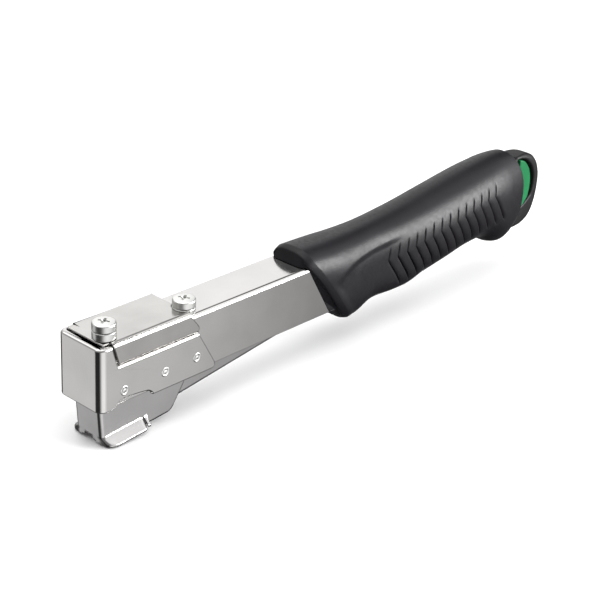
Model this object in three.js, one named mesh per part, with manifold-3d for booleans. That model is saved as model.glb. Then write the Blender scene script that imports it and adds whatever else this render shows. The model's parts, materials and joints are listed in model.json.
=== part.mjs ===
// Hammer tacker: a staple gun that is swung like a hammer.
//
// The steel handle carries a wrapped front cap, a cover plate and a fixed driver blade. A magazine
// hangs under the handle on two pivot studs. When its feet hit the work the magazine folds up into
// the handle and the blade drives the first staple. Staples load from the butt: the end piece is
// unlatched by squeezing its two cheeks and pulled out with the follower's push rod.
//
// Millimetres. +X runs from the nose to the butt, +Y to the right hand of someone holding the tool,
// +Z up. Pieces are drawn in head coordinates, with X = 0 on the cap's front face and Z = 0 at the
// cap's top edge, and the finished tool is then moved so that its origin is the centre of its
// footprint. The magazine is drawn folded in, as it is at the end of a blow, and then turned down
// to its rest angle.
import * as THREE from 'three';
import { mergeVertices } from 'three/addons/utils/BufferGeometryUtils.js';
import Module from 'manifold-3d';

const wasm = await Module();
wasm.setup();

// ---- Driving dimensions ----
const GAP = 0.3; // clearance between pieces that touch
const ARC = 4; // segments in a quarter-round fold

const HANDLE = { front: 5, rear: 236, half: 11.66, top: -2.1, bottom: -30.6, wall: 1.3, fold: 2.2 };
const CAP = { half: 14.2, wall: 1.9, corner: 3.87, bottom: -31.4, frontBottom: -30.7 };
const COVER = { front: 4.7, rear: 52.8, half: 13.9, top: 1.06, skirt: -9.3, wall: 1.5, fold: 2.5 };
const SCREW = { head: 5.35, headHeight: 4.0, shank: 2.2, y: -6.6 };
const FRONT_SCREW_X = 8.6;
const REAR_SCREW_X = 54.8;
const FRONT_COLLAR_HEIGHT = 3.6;
const REAR_COLLAR_HEIGHT = 3.0;
const FRONT_SEAT = COVER.top + FRONT_COLLAR_HEIGHT + 2 * GAP;
const REAR_SEAT = HANDLE.top + REAR_COLLAR_HEIGHT + 2 * GAP;
const RIVET = { radius: 2.3, proud: 0.35, places: [[13.6, -23.2], [37.2, -22.7], [56.3, -22.2]] };

const PIVOT = { x: 186, z: -19, stud: 2.5, bush: 4.5 };
const REST_TILT = THREE.MathUtils.degToRad(4.4); // how far the magazine hangs below the handle
const MAG = { front: 5.0, rear: 198, half: 7.3, wall: 1.2, slope: 0.0545, top: -22.0, bottom: -35.1 };
const RAIL = { front: 7.0, rear: 196, half: 4.1, wall: 1.1, top: -24.0, bottom: -33.6, slot: 1.2 };
const NOSE = { front: 3.0, half: 8.8, wall: 1.2, corner: 1.9, top: -8, sole: -37, flare: -32.4 };
const FOOT = { half: 13.4, front: 4.2, rear: 27.0, tabRear: 29.8, slot: 1.2, thick: 1.3 };
const BLADE = { front: 5.2, thick: 1.2, half: 5.2, top: -2.4, bottom: -36.4 };

const SPRING = { x: 118, bottom: -18.0, top: -5.8, radius: 3.8, turns: 5, wire: 0.6 };
const TRACK_Z = -28.8; // centre of the staple track at the nose
const GRIP_SQUARE = 3; // how square the grip's section is; 2 would be an ellipse
const GRIP = { front: 131.5, lean: 0.55, end: 303 };
const TANG = { start: 204, bottom: -24 }; // the handle's narrowed tail inside the grip
const CORE = { half: 10.5, bottom: -25, top: 2, end: 302.8 };
const PLUG = { front: 288, half: 3.6, bottom: -22, top: -4 };
const ROD = { radius: 2, z: PIVOT.z, front: 190, rear: 296 };
const HOOP = { half: 6.0, front: 303.4, web: 308, rear: 332 };
const CHEEK = { inner: 2.2, outer: 7.2, front: 308.4, bottom: -13.7, top: -8.3 };
const TONGUE = { front: 289.5, inner: 5.6, outer: 6.8, barb: 7.3, barbRear: 294.2 };

// ---- Materials ----
const finish = (color, roughness, metalness) =>
  new THREE.MeshStandardMaterial({ color, roughness, metalness });
const nickel = finish(0xc9cacb, 0.25, 1);
const satinSteel = finish(0xb4b5b6, 0.35, 1);
const darkSteel = finish(0x707276, 0.45, 1);
const springSteel = finish(0x8c8e92, 0.3, 1);
const blackRubber = finish(0x1d1c1f, 0.7, 0);
const blackPlastic = finish(0x222124, 0.5, 0);
const greenPlastic = finish(0x2f9d68, 0.45, 0);

// ---- Solid helpers ----
function solid(geometry) {
  const bare = geometry.index ? geometry.toNonIndexed() : geometry.clone();
  bare.deleteAttribute('normal');
  bare.deleteAttribute('uv');
  const merged = mergeVertices(bare, 1e-4);
  return new wasm.Manifold(new wasm.Mesh({
    numProp: 3,
    vertProperties: new Float32Array(merged.attributes.position.array),
    triVerts: new Uint32Array(merged.index.array),
  }));
}

function piece(name, shape, material) {
  const mesh = shape.getMesh();
  const geometry = new THREE.BufferGeometry();
  geometry.setAttribute('position', new THREE.BufferAttribute(new Float32Array(mesh.vertProperties), 3));
  geometry.setIndex(new THREE.BufferAttribute(new Uint32Array(mesh.triVerts), 1));
  geometry.computeVertexNormals();
  const made = new THREE.Mesh(geometry, material);
  made.name = name;
  return made;
}

function outline(points) {
  return new THREE.Shape(points.map(([a, b]) => new THREE.Vector2(a, b)));
}

function extruded(shape, depth, curveSegments = ARC) {
  return new THREE.ExtrudeGeometry(shape, { depth, bevelEnabled: false, curveSegments });
}

// A section drawn in Y and Z, run along X.
const alongX = (shape, x0, x1) =>
  solid(extruded(shape, x1 - x0).rotateX(Math.PI / 2).rotateZ(Math.PI / 2).translate(x0, 0, 0));
// A side view drawn in X and Z, run along Y.
const alongY = (shape, y0, y1) =>
  solid(extruded(shape, y1 - y0).rotateX(Math.PI / 2).translate(0, y1, 0));
// A plan drawn in X and Y, run along Z.
const alongZ = (shape, z0, z1) => solid(extruded(shape, z1 - z0).translate(0, 0, z0));

function box(x0, x1, y0, y1, z0, z1) {
  const geometry = new THREE.BoxGeometry(x1 - x0, y1 - y0, z1 - z0);
  return solid(geometry.translate((x0 + x1) / 2, (y0 + y1) / 2, (z0 + z1) / 2));
}

function postZ(radius, x, y, z0, z1, sides = 20) {
  const geometry = new THREE.CylinderGeometry(radius, radius, z1 - z0, sides).rotateX(Math.PI / 2);
  return solid(geometry.translate(x, y, (z0 + z1) / 2));
}

function pinY(radius, x, z, y0, y1, sides = 20) {
  const geometry = new THREE.CylinderGeometry(radius, radius, y1 - y0, sides);
  return solid(geometry.translate(x, (y0 + y1) / 2, z));
}

function rodX(radius, x0, x1, y, z, sides = 16) {
  const geometry = new THREE.CylinderGeometry(radius, radius, x1 - x0, sides).rotateZ(Math.PI / 2);
  return solid(geometry.translate((x0 + x1) / 2, y, z));
}

// The section of a folded channel, open at the bottom, in Y and Z.
function foldedSection({ half, top, bottom, wall, fold }) {
  const flat = half - fold;
  const spring = top - fold;
  const shape = new THREE.Shape();
  shape.moveTo(-half, bottom);
  shape.lineTo(-half, spring);
  shape.absarc(-flat, spring, fold, Math.PI, Math.PI / 2, true);
  shape.lineTo(flat, top);
  shape.absarc(flat, spring, fold, Math.PI / 2, 0, true);
  shape.lineTo(half, bottom);
  shape.lineTo(half - wall, bottom);
  shape.lineTo(half - wall, spring);
  shape.absarc(flat, spring, fold - wall, 0, Math.PI / 2, false);
  shape.lineTo(-flat, top - wall);
  shape.absarc(-flat, spring, fold - wall, Math.PI / 2, Math.PI, false);
  shape.lineTo(wall - half, bottom);
  return shape;
}

// The plan of a sheet wrapped round the front: a U in X and Y, open towards the butt.
function wrappedPlan(front, rear, half, wall, corner) {
  const inner = Math.max(corner - wall, 0.3);
  const shape = new THREE.Shape();
  shape.moveTo(rear, -half);
  shape.lineTo(front + corner, -half);
  shape.absarc(front + corner, corner - half, corner, -Math.PI / 2, -Math.PI, true);
  shape.lineTo(front, half - corner);
  shape.absarc(front + corner, half - corner, corner, Math.PI, Math.PI / 2, true);
  shape.lineTo(rear, half);
  shape.lineTo(rear, half - wall);
  shape.lineTo(front + wall + inner, half - wall);
  shape.absarc(front + wall + inner, half - wall - inner, inner, Math.PI / 2, Math.PI, false);
  shape.lineTo(front + wall, wall + inner - half);
  shape.absarc(front + wall + inner, wall + inner - half, inner, Math.PI, Math.PI * 1.5, false);
  shape.lineTo(rear, wall - half);
  return shape;
}

// A coil spring: a round wire swept along a helix about the line from start in direction axis.
class Helix extends THREE.Curve {
  constructor(start, axis, length, radius, turns) {
    super();
    Object.assign(this, { start, axis, length, radius, turns });
    this.side = Math.abs(axis.z) > 0.5 ? new THREE.Vector3(1, 0, 0) : new THREE.Vector3(0, 0, 1);
    this.side.addScaledVector(axis, -this.side.dot(axis)).normalize();
    this.up = new THREE.Vector3().crossVectors(axis, this.side);
  }
  getPoint(t, target = new THREE.Vector3()) {
    const angle = t * this.turns * Math.PI * 2;
    return target.copy(this.start).addScaledVector(this.axis, this.length * t)
      .addScaledVector(this.side, this.radius * Math.cos(angle))
      .addScaledVector(this.up, this.radius * Math.sin(angle));
  }
}

function coil(start, axis, length, radius, turns, wire) {
  const section = new THREE.Shape();
  section.absarc(0, 0, wire, 0, Math.PI * 2, false);
  return solid(new THREE.ExtrudeGeometry(section, {
    steps: turns * 9, curveSegments: 3, bevelEnabled: false,
    extrudePath: new Helix(start, axis, length, radius, turns),
  }));
}

// ---- Handle and head ----
function handleChannel() {
  const blockWindow = box(HANDLE.front - 1, 22, -9.4, 9.4, HANDLE.top - 3, HANDLE.top + 1);
  const tangCut = box(TANG.start, HANDLE.rear + 1, -20, 20, HANDLE.bottom - 1, TANG.bottom);
  const rearScrewHole = postZ(SCREW.shank + GAP, REAR_SCREW_X, SCREW.y, HANDLE.top - 3, HANDLE.top + 1);
  const studHoles = pinY(PIVOT.stud + GAP, PIVOT.x, PIVOT.z, -20, 20);
  let body = alongX(foldedSection(HANDLE), HANDLE.front, HANDLE.rear);
  body = body.subtract(blockWindow).subtract(tangCut).subtract(rearScrewHole).subtract(studHoles);
  for (const [x, z] of RIVET.places) body = body.subtract(pinY(RIVET.radius * 0.6 + GAP, x, z, -20, 20));
  return body;
}

function frontCap() {
  const side = new THREE.Shape();
  side.moveTo(-1, 0);
  side.lineTo(7.2, 0);
  side.lineTo(10.4, -10.55);
  side.lineTo(57.4, -10.55);
  side.lineTo(67.6, -29.4);
  side.quadraticCurveTo(68.4, CAP.bottom, 66.4, CAP.bottom);
  side.lineTo(30.2, CAP.bottom);
  side.quadraticCurveTo(28.6, -28.4, 25.8, -28.2);
  side.quadraticCurveTo(18, -27.1, 12.6, -27.2);
  side.quadraticCurveTo(10.4, -27.6, 7.0, CAP.frontBottom);
  side.lineTo(-1, CAP.frontBottom);
  const wrap = alongZ(wrappedPlan(0, 70, CAP.half, CAP.wall, CAP.corner), CAP.bottom, 0);
  let cap = wrap.intersect(alongY(side, -CAP.half - 1, CAP.half + 1));
  for (const [x, z] of RIVET.places) cap = cap.subtract(pinY(RIVET.radius * 0.6 + GAP, x, z, -20, 20));
  return cap;
}

function coverPlate() {
  const side = outline([
    [COVER.front, 3], [COVER.rear, 3], [COVER.rear, -0.6], [58.0, -7.4], [58.1, -8.6], [57.3, COVER.skirt],
    [11.0, COVER.skirt], [7.9, 0.0], [7.2, -1.6], [COVER.front, -1.6],
  ]);
  const section = foldedSection({ ...COVER, bottom: COVER.skirt });
  return alongX(section, COVER.front, 60)
    .intersect(alongY(side, -20, 20))
    .subtract(box(0, 7.9, 11.4, 20, -12, 3))
    .subtract(box(0, 7.9, -20, -11.4, -12, 3))
    .subtract(postZ(SCREW.shank + GAP, FRONT_SCREW_X, SCREW.y, -4, 4))
    .subtract(postZ(SCREW.head + GAP, REAR_SCREW_X, SCREW.y, -0.6, 4, 32));
}

// A cheese-head screw with a cross recess.
function crossScrew(x, seat, shankBottom) {
  const top = seat + SCREW.headHeight;
  const arm = (turn) => {
    const cut = new THREE.BoxGeometry(6.4, 1.3, 3).rotateZ(turn);
    return solid(cut.translate(x, SCREW.y, top));
  };
  return postZ(SCREW.head, x, SCREW.y, seat, top, 32)
    .add(postZ(SCREW.shank, x, SCREW.y, shankBottom, seat + 1, 16))
    .subtract(arm(0.5)).subtract(arm(0.5 + Math.PI / 2));
}

function collar(x, bottom, height) {
  return postZ(SCREW.head, x, SCREW.y, bottom, bottom + height, 32)
    .subtract(postZ(SCREW.shank + GAP, x, SCREW.y, bottom - 1, bottom + height + 1));
}

function driverBlock() {
  const front = BLADE.front + BLADE.thick + GAP;
  const top = COVER.top - COVER.wall - GAP;
  const under = HANDLE.top - HANDLE.wall - GAP;
  return box(front, 21.6, -8.8, 8.8, under - 1, top)
    .add(box(front, 21.6, -9.9, 9.9, -7.2, under))
    .add(box(front, 21.6, -6.8, 6.8, -13, -7))
    .subtract(postZ(SCREW.shank + GAP, FRONT_SCREW_X, SCREW.y, -6.5, 2));
}

// Thin enough to clear the top of the nose when the magazine is folded in.
function rearClampBlock() {
  const top = HANDLE.top - HANDLE.wall - GAP;
  const bottom = NOSE.top + GAP;
  return box(REAR_SCREW_X - 7, REAR_SCREW_X + 7, -10, 2, bottom, top)
    .subtract(postZ(SCREW.shank + GAP, REAR_SCREW_X, SCREW.y, bottom - 1, top + 1));
}

function capRivet(x, z, sign) {
  const head = CAP.half + GAP;
  const y = (a, b) => (sign > 0 ? [a, b] : [-b, -a]);
  const shank = pinY(RIVET.radius * 0.6, x, z, ...y(HANDLE.half - HANDLE.wall, head + 0.1), 14);
  const rim = pinY(RIVET.radius, x, z, ...y(head, head + RIVET.proud), 18);
  return shank.add(rim);
}

function pivotStud(sign) {
  const span = sign > 0 ? [MAG.half - MAG.wall, HANDLE.half] : [-HANDLE.half, MAG.wall - MAG.half];
  return pinY(PIVOT.stud, PIVOT.x, PIVOT.z, ...span);
}

function pivotBush(sign) {
  const inner = MAG.half + GAP;
  const outer = HANDLE.half - HANDLE.wall - GAP;
  const span = sign > 0 ? [inner, outer] : [-outer, -inner];
  return pinY(PIVOT.bush, PIVOT.x, PIVOT.z, ...span)
    .subtract(pinY(PIVOT.stud + GAP, PIVOT.x, PIVOT.z, -20, 20));
}

function springSeat() {
  const under = HANDLE.top - HANDLE.wall - GAP;
  return postZ(5.4, SPRING.x, 0, under - 1.2, under).add(postZ(2.6, SPRING.x, 0, under - 4, under));
}

function returnSpring() {
  const start = new THREE.Vector3(SPRING.x, 0, SPRING.bottom);
  const rise = new THREE.Vector3(0, 0, 1);
  return coil(start, rise, SPRING.top - SPRING.bottom, SPRING.radius, SPRING.turns, SPRING.wire);
}

// ---- Grip and core ----
// One closed smooth curve of the grip's outline at a station along the handle.
const gripTop = new THREE.CatmullRomCurve3([
  [120, 5.4], [136, 5.2], [150, 4.6], [177, 4.0], [208, 6.2], [240, 10.5], [274, 14.2], [291, 15.2],
  [303, 14.0],
].map(([x, z]) => new THREE.Vector3(x, 0, z)));
const gripBottom = new THREE.CatmullRomCurve3([
  [120, -33.5], [136, -33.5], [146, -35.0], [155, -40.0], [162, -42.3], [168, -41.0], [177, -37.2],
  [200, -35.6], [220, -34.8], [240, -32.4], [262, -29.2], [276, -29.8], [287, -35.5], [295, -36.6], [303, -31.5],
].map(([x, z]) => new THREE.Vector3(x, 0, z)));
const gripHalf = new THREE.CatmullRomCurve3([
  [120, 14.8], [140, 15.2], [154, 16.0], [164, 15.6], [182, 14.2], [205, 15.2], [235, 16.3], [275, 16.4],
  [292, 15.6], [303, 13.4],
].map(([x, y]) => new THREE.Vector3(x, 0, y)));

// The height of such a curve at x.
function heightAt(curve, x) {
  let low = 0;
  let high = 1;
  for (let i = 0; i < 30; i += 1) {
    const middle = (low + high) / 2;
    if (curve.getPoint(middle).x < x) low = middle;
    else high = middle;
  }
  return curve.getPoint(low).z;
}

function gripSection(x, sides) {
  const top = heightAt(gripTop, x);
  const bottom = heightAt(gripBottom, x);
  const half = heightAt(gripHalf, x);
  const round = (value) => Math.sign(value) * Math.abs(value) ** (2 / GRIP_SQUARE);
  return Array.from({ length: sides }, (_, i) => {
    const angle = (i / sides) * Math.PI * 2;
    const z = (top + bottom) / 2 + round(Math.sin(angle)) * (top - bottom) / 2;
    return new THREE.Vector3(x, round(Math.cos(angle)) * half, z);
  });
}

// A skin through rings of equal size, closed at both ends with flat caps.
function lofted(rings) {
  const sides = rings[0].length;
  const positions = rings.flat().flatMap((p) => [p.x, p.y, p.z]);
  const index = [];
  for (let r = 0; r + 1 < rings.length; r += 1) {
    for (let i = 0; i < sides; i += 1) {
      const a = r * sides + i;
      const b = r * sides + ((i + 1) % sides);
      index.push(a, b, b + sides, a, b + sides, a + sides);
    }
  }
  const last = (rings.length - 1) * sides;
  for (let i = 1; i + 1 < sides; i += 1) index.push(0, i + 1, i, last, last + i, last + i + 1);
  const geometry = new THREE.BufferGeometry();
  geometry.setAttribute('position', new THREE.Float32BufferAttribute(positions, 3));
  geometry.setIndex(index);
  return solid(geometry);
}

function rubberGrip() {
  const stations = [
    124, 132, 140, 148, 155, 162, 168, 176, 188, 204, 222, 240, 258, 270, 280, 288, 296, GRIP.end,
  ];
  const skin = lofted(stations.map((x) => gripSection(x, 28)));
  const mouth = outline([
    [100, 30], [GRIP.front - 30 * GRIP.lean, 30], [GRIP.front + 60 * GRIP.lean, -60], [100, -60],
  ]);
  const channelRoom = box(110, TANG.start + GAP, -HANDLE.half - GAP, HANDLE.half + GAP,
    HANDLE.bottom - GAP, HANDLE.top + GAP);
  const tangRoom = box(200, HANDLE.rear + GAP, -HANDLE.half - GAP, HANDLE.half + GAP,
    TANG.bottom - GAP, HANDLE.top + GAP);
  const coreRoom = box(HANDLE.rear, GRIP.end + 1, -CORE.half - GAP, CORE.half + GAP,
    CORE.bottom - GAP, CORE.top + GAP);
  return skin.subtract(alongY(mouth, -20, 20)).subtract(channelRoom).subtract(tangRoom).subtract(coreRoom);
}

function gripCore() {
  const inside = HANDLE.half - HANDLE.wall - GAP;
  const under = HANDLE.top - HANDLE.wall - GAP;
  const spigot = box(TANG.start - 2, HANDLE.rear + 1, -inside, inside, TANG.bottom + GAP, under);
  const body = box(HANDLE.rear + GAP, CORE.end, -CORE.half, CORE.half, CORE.bottom, CORE.top);
  const plugRoom = box(PLUG.front - 0.6, GRIP.end + 1, -PLUG.half - GAP, PLUG.half + GAP,
    PLUG.bottom - GAP, PLUG.top + GAP);
  const slotHalf = TONGUE.barb + GAP;
  const tongueSlot = box(PLUG.front - 0.6, GRIP.end + 1, -slotHalf, slotHalf,
    CHEEK.bottom - 0.6, CHEEK.top + 0.6);
  return spigot.add(body)
    .subtract(rodX(ROD.radius + GAP, TANG.start - 5, GRIP.end, 0, ROD.z))
    .subtract(plugRoom).subtract(tongueSlot);
}

// ---- Loader: the pull-out end piece with its push rod and two squeeze cheeks ----
function hoopOutline() {
  const shape = new THREE.Shape();
  shape.moveTo(HOOP.front, -33);
  shape.lineTo(HOOP.front, 10.4);
  shape.quadraticCurveTo(320, 12.2, 327, 7.8);
  shape.quadraticCurveTo(HOOP.rear, 3.8, HOOP.rear, -7);
  shape.quadraticCurveTo(HOOP.rear, -19, 327.8, -26.5);
  shape.quadraticCurveTo(323.8, -33.4, 311, -33.2);
  return shape;
}

function windowOutline(inset, rear) {
  const shape = new THREE.Shape();
  const front = HOOP.web + inset;
  shape.moveTo(front, -22.6 + inset);
  shape.lineTo(front, 8.6 - inset);
  shape.quadraticCurveTo(319.5 - inset, 9.2 - inset, rear - 2.6, 0.4);
  shape.quadraticCurveTo(rear + 1.8, -8, rear - 3, -15);
  shape.quadraticCurveTo(316.5, -22 + inset, front, -22.6 + inset);
  return shape;
}

function loaderHoop() {
  const plug = box(PLUG.front, HOOP.front + 1, -PLUG.half, PLUG.half, PLUG.bottom, PLUG.top);
  const tonguePass = (sign) => {
    const span = [PLUG.half + GAP, HOOP.half + 1].map((y) => y * sign).sort((a, b) => a - b);
    return box(HOOP.front - 1, HOOP.web + 1, ...span, CHEEK.bottom - 0.6, CHEEK.top + 0.6);
  };
  return alongY(hoopOutline(), -HOOP.half, HOOP.half)
    .subtract(alongY(windowOutline(0, 327.0), -20, 20))
    .add(plug)
    .subtract(tonguePass(1)).subtract(tonguePass(-1))
    .subtract(rodX(ROD.radius + GAP, PLUG.front - 1, ROD.rear + GAP, 0, ROD.z));
}

function cheek(sign) {
  const span = (a, b) => (sign > 0 ? [a, b] : [-b, -a]);
  const face = alongY(windowOutline(0.4, 321.4), ...span(CHEEK.inner, CHEEK.outer));
  const { front, inner, outer, barb, barbRear } = TONGUE;
  const tongue = box(front, CHEEK.front + 2, ...span(inner, outer), CHEEK.bottom, CHEEK.top);
  const head = box(front, barbRear, ...span(inner, barb), CHEEK.bottom, CHEEK.top);
  return face.add(tongue).add(head)
    .subtract(pinY(2.9, 313.5, -9, ...span(CHEEK.inner - 1, 5.0), 14));
}

function cheekSpring() {
  const start = new THREE.Vector3(313.5, -4.2, -9);
  return coil(start, new THREE.Vector3(0, 1, 0), 8.4, 2.0, 4, 0.35);
}

// ---- Magazine, drawn folded in ----
const INCLINE = Math.atan(MAG.slope); // the staple track climbs towards the butt
const inclined = (shape) => shape.translate([-RAIL.front, 0, -TRACK_Z])
  .rotate([0, -THREE.MathUtils.radToDeg(INCLINE), 0]).translate([RAIL.front, 0, TRACK_Z]);

function magazineChannel() {
  const section = foldedSection({
    half: MAG.half, top: -MAG.bottom, bottom: -MAG.top, wall: MAG.wall, fold: 2.0,
  });
  const stapleExit = box(MAG.front - 1, 8.6, MAG.wall - MAG.half, MAG.half - MAG.wall, -40, -31);
  return inclined(alongX(section, MAG.front, MAG.rear).rotate([180, 0, 0]))
    .subtract(stapleExit)
    .subtract(pinY(PIVOT.stud + GAP, PIVOT.x, PIVOT.z, -20, 20));
}

function stapleRail() {
  const section = foldedSection({
    half: RAIL.half, top: RAIL.top, bottom: RAIL.bottom, wall: RAIL.wall, fold: 1.4,
  });
  const slot = box(9.5, 188, -RAIL.slot, RAIL.slot, RAIL.top - 3, RAIL.top + 1);
  return inclined(alongX(section, RAIL.front, RAIL.rear).subtract(slot));
}

// The nose: a wrapped sheet with its lower edges struck out into two flat feet.
function noseShoe() {
  const side = new THREE.Shape();
  side.moveTo(0, NOSE.top);
  side.lineTo(55.5, NOSE.top);
  side.lineTo(52.9, -25.7);
  side.lineTo(45.6, -35.2);
  side.quadraticCurveTo(44.2, NOSE.sole, 42.0, NOSE.sole);
  side.lineTo(0, NOSE.sole);
  const wrap = alongZ(wrappedPlan(NOSE.front, 56, NOSE.half, NOSE.wall, NOSE.corner), NOSE.sole, NOSE.top);
  const exitArch = outline([
    [-3.4, -33.2], [3.4, -33.2], [6.2, -35.0], [7.8, -38], [-7.8, -38], [-6.2, -35.0],
  ]);
  const foot = (sign, x0, x1, half) => {
    const flare = new THREE.Shape();
    flare.moveTo(sign * (NOSE.half - NOSE.wall), NOSE.flare);
    flare.lineTo(sign * NOSE.half, NOSE.flare);
    const top = NOSE.sole + FOOT.thick;
    flare.quadraticCurveTo(sign * (NOSE.half + 0.4), top + 0.6, sign * half, top);
    flare.lineTo(sign * half, NOSE.sole);
    flare.lineTo(sign * (NOSE.half - NOSE.wall), NOSE.sole);
    return alongX(flare, x0, x1);
  };
  const plan = new THREE.Shape();
  const corner = 3.2;
  plan.moveTo(NOSE.front, -NOSE.half);
  plan.quadraticCurveTo(FOOT.front, -FOOT.half, FOOT.front + corner, -FOOT.half);
  plan.lineTo(FOOT.tabRear, -FOOT.half);
  plan.lineTo(FOOT.tabRear, FOOT.half);
  plan.lineTo(FOOT.front + corner, FOOT.half);
  plan.quadraticCurveTo(FOOT.front, FOOT.half, NOSE.front, NOSE.half);
  const feet = [-1, 1].map((sign) => foot(sign, NOSE.front + 1.2, FOOT.rear, FOOT.half)
    .add(foot(sign, FOOT.rear + FOOT.slot, FOOT.tabRear, FOOT.half - 1.6)));
  const trimmedFeet = feet[0].add(feet[1]).intersect(alongZ(plan, NOSE.sole - 1, NOSE.flare + 1));
  return wrap.intersect(alongY(side, -20, 20))
    .subtract(alongX(exitArch, NOSE.front - 1, NOSE.front + NOSE.wall + 0.3))
    .add(trimmedFeet);
}

// An inverted U that straddles the magazine.
function saddle(x0, x1, half, top, legBottom) {
  return alongX(foldedSection({ half, top, bottom: legBottom, wall: 1.2, fold: 1.8 }), x0, x1);
}

function follower() {
  const top = RAIL.top + GAP;
  const innerHalf = RAIL.half + GAP;
  const leg = (sign) => {
    const span = [innerHalf, innerHalf + 1.0].map((y) => y * sign).sort((a, b) => a - b);
    return box(12, 26, ...span, -31, top + 1.3);
  };
  return inclined(box(12, 26, -innerHalf - 1.0, innerHalf + 1.0, top, top + 1.3)
    .add(leg(1)).add(leg(-1))
    .add(box(20, 24, -0.8, 0.8, TRACK_Z - 2, top + 1))
    .add(box(22, 24, -2.5, 2.5, TRACK_Z - 2.6, TRACK_Z + 2.6)));
}

function followerSpring() {
  const start = new THREE.Vector3(25.2, 0, TRACK_Z);
  return inclined(coil(start, new THREE.Vector3(1, 0, 0), 159, 2.1, 16, 0.4));
}

// ---- Assembly ----
const tool = new THREE.Group();
tool.add(
  piece('handle_channel', handleChannel(), nickel),
  piece('front_cap', frontCap(), nickel),
  piece('cover_plate', coverPlate(), nickel),
  piece('front_screw', crossScrew(FRONT_SCREW_X, FRONT_SEAT, -5.5), nickel),
  piece('front_collar', collar(FRONT_SCREW_X, COVER.top + GAP, FRONT_COLLAR_HEIGHT), nickel),
  piece('rear_screw', crossScrew(REAR_SCREW_X, REAR_SEAT, -8), nickel),
  piece('rear_collar', collar(REAR_SCREW_X, HANDLE.top + GAP, REAR_COLLAR_HEIGHT), nickel),
  piece('driver_block', driverBlock(), darkSteel),
  piece('driver_blade', box(BLADE.front, BLADE.front + BLADE.thick, -BLADE.half, BLADE.half,
    BLADE.bottom, BLADE.top), darkSteel),
  piece('rear_clamp_block', rearClampBlock(), darkSteel),
  piece('bumper', box(29, 43, -6, 6, -11.1, HANDLE.top - HANDLE.wall - GAP), blackRubber),
  piece('spring_seat', springSeat(), darkSteel),
  piece('return_spring', returnSpring(), springSteel),
  piece('rubber_grip', rubberGrip(), blackRubber),
  piece('grip_core', gripCore(), blackPlastic),
  piece('loader_hoop', loaderHoop(), blackPlastic),
  piece('push_rod', rodX(ROD.radius, ROD.front, ROD.rear, 0, ROD.z), springSteel),
  piece('cheek_spring', cheekSpring(), springSteel),
);
for (const [side, sign] of [['left', -1], ['right', 1]]) {
  RIVET.places.forEach(([x, z], i) => {
    tool.add(piece(`cap_rivet_${side}_${i + 1}`, capRivet(x, z, sign), nickel));
  });
  tool.add(
    piece(`pivot_stud_${side}`, pivotStud(sign), satinSteel),
    piece(`pivot_bush_${side}`, pivotBush(sign), satinSteel),
    piece(`squeeze_cheek_${side}`, cheek(sign), greenPlastic),
  );
}

const magazine = new THREE.Group();
magazine.add(
  piece('magazine_channel', magazineChannel(), satinSteel),
  piece('staple_rail', stapleRail(), satinSteel),
  piece('nose_shoe', noseShoe(), nickel),
  piece('nose_bridge', saddle(28, 44, NOSE.half - NOSE.wall - GAP, -11.5, -19.3), satinSteel),
  piece('spring_saddle', saddle(SPRING.x - 7, SPRING.x + 7, MAG.half + GAP + 1.2, -14.0, -21), satinSteel),
  piece('follower', follower(), darkSteel),
  piece('follower_spring', followerSpring(), springSteel),
);
for (const mesh of magazine.children) mesh.position.set(-PIVOT.x, 0, -PIVOT.z);
magazine.position.set(PIVOT.x, 0, PIVOT.z);
magazine.rotation.y = -REST_TILT;
tool.add(magazine);

// Move the tool so that its origin is the centre of its footprint.
const extent = new THREE.Box3().setFromObject(tool, true);
const middle = extent.getCenter(new THREE.Vector3());
tool.position.set(-middle.x, -middle.y, -extent.min.z);
tool.updateMatrixWorld(true);

export default tool;
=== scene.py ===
"""Looks of the hammer tacker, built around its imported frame.

Shapes are drawn in millimetres in head coordinates: X = 0 is the front of the cap and Z = 0 its top edge.
placed() puts them into the frame, in metres. The magazine is drawn folded into the handle and then swung
down about the pivot to its rest angle.
"""
import json
import math

import bmesh
import bpy
import numpy as np
from mathutils import Matrix, Vector


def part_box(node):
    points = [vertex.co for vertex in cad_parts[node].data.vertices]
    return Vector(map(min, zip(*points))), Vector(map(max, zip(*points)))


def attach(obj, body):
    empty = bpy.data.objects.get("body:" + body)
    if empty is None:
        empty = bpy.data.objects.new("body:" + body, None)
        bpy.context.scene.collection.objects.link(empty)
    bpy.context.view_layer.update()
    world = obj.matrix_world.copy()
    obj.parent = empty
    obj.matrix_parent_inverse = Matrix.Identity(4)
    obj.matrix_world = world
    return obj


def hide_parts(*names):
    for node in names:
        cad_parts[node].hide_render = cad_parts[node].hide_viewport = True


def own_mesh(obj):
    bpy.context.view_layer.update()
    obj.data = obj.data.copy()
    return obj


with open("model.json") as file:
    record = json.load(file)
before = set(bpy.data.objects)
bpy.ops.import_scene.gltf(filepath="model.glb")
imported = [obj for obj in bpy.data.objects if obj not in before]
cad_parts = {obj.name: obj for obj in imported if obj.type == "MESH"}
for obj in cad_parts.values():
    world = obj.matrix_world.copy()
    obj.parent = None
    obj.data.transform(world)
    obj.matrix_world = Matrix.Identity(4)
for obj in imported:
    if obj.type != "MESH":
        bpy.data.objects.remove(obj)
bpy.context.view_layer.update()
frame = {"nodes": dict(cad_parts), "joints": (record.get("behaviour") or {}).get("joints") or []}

MM = 0.001
CAP_LOW, CAP_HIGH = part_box("front_cap")
HEAD = Vector((CAP_LOW.x, 0.0, CAP_HIGH.z))
STRIKE = next(joint for joint in frame["joints"] if joint["name"] == "strike")
PIVOT = (Vector(STRIKE["pos_m"]) - HEAD) / MM
REST_TILT = math.radians(STRIKE["range_deg"][1])
CLEAR = 0.3  # gap between pieces that touch
SIDES = (("left", -1), ("right", 1))


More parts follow.
